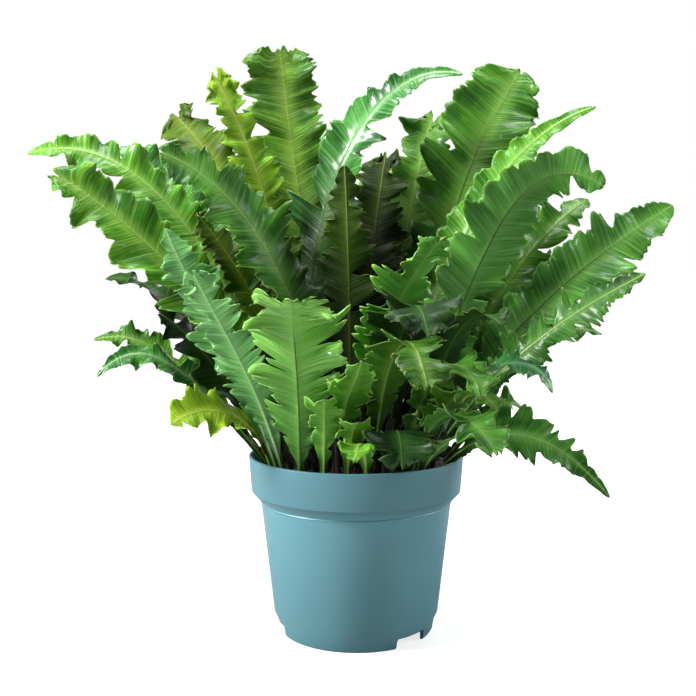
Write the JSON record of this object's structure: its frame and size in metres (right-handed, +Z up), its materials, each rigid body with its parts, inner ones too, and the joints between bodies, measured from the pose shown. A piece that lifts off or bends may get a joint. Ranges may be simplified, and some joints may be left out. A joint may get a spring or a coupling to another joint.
{
  "type": "potted fern",
  "caption": "Crisped bird's nest fern: wavy, lobed strap fronds rising from a rhizome mat in a tapered nursery pot with a collar, stepped foot and drain notches.",
  "frame": {"origin": "centre of the pot's foot, on the surface that the pot stands on", "axes": "+Z up along the pot's axis, -Y to the plant's front as pictured, +X to its right"},
  "size_m": [0.5069, 0.4075, 0.4746],
  "materials": {
    "pot_plastic": "satin injection-moulded teal-grey plastic",
    "potting_mix": "dark moist peat and bark fibre",
    "rhizome_bark": "dark brown scaly rhizome and matted roots",
    "frond_young": "glossy yellow-green young frond",
    "frond_bright": "glossy light green frond",
    "frond_green": "glossy mid green frond",
    "frond_cool": "glossy blue-green frond",
    "frond_olive": "glossy dark olive frond",
    "frond_deep": "glossy deep green frond"
  },
  "bodies": {
    "root": {"pot": "pot_plastic", "potting_mix": "potting_mix", "rhizome_mat": "rhizome_bark", "top_back": "frond_green", "young_back": "frond_young", "olive_back": "frond_olive", "side_left": "frond_green", "dusk_left": "frond_cool", "arch_left": "frond_green", "whip_left": "frond_bright", "broad_left": "frond_bright", "steel_left": "frond_cool", "peek_left": "frond_deep", "murk_left": "frond_deep", "spur_left": "frond_green", "drip_left": "frond_cool", "lime_left": "frond_young", "silver_left": "frond_cool", "hero_front": "frond_bright", "shade_left": "frond_olive", "spine_mid": "frond_olive", "arch_right": "frond_cool", "shade_right": "frond_olive", "lobe_back": "frond_green", "fan_right": "frond_green", "wave_right": "frond_bright", "hook_right": "frond_green", "far_right": "frond_green", "behind_right": "frond_green", "side_right": "frond_bright", "feather_right": "frond_green", "peek_right": "frond_green", "teal_right": "frond_cool", "nook_right": "frond_green", "low_right": "frond_green", "curl_mid": "frond_bright", "nest_mid": "frond_deep", "face_mid": "frond_deep", "gloss_mid": "frond_deep", "plume_right": "frond_green", "drop_mid": "frond_green", "bend_right": "frond_green", "drop_right": "frond_deep", "rim_right": "frond_green", "tuck_right": "frond_green", "finger_mid": "frond_bright", "sprout_left": "frond_bright", "sprout_mid": "frond_bright", "frill_mid": "frond_bright", "back_a": "frond_green", "back_b": "frond_deep", "back_c": "frond_bright", "back_d": "frond_green", "back_e": "frond_cool", "back_f": "frond_bright", "back_g": "frond_green", "back_h": "frond_deep", "rear_right": "frond_cool", "rear_mid": "frond_green", "rear_left": "frond_bright"}
  },
  "joints": []
}
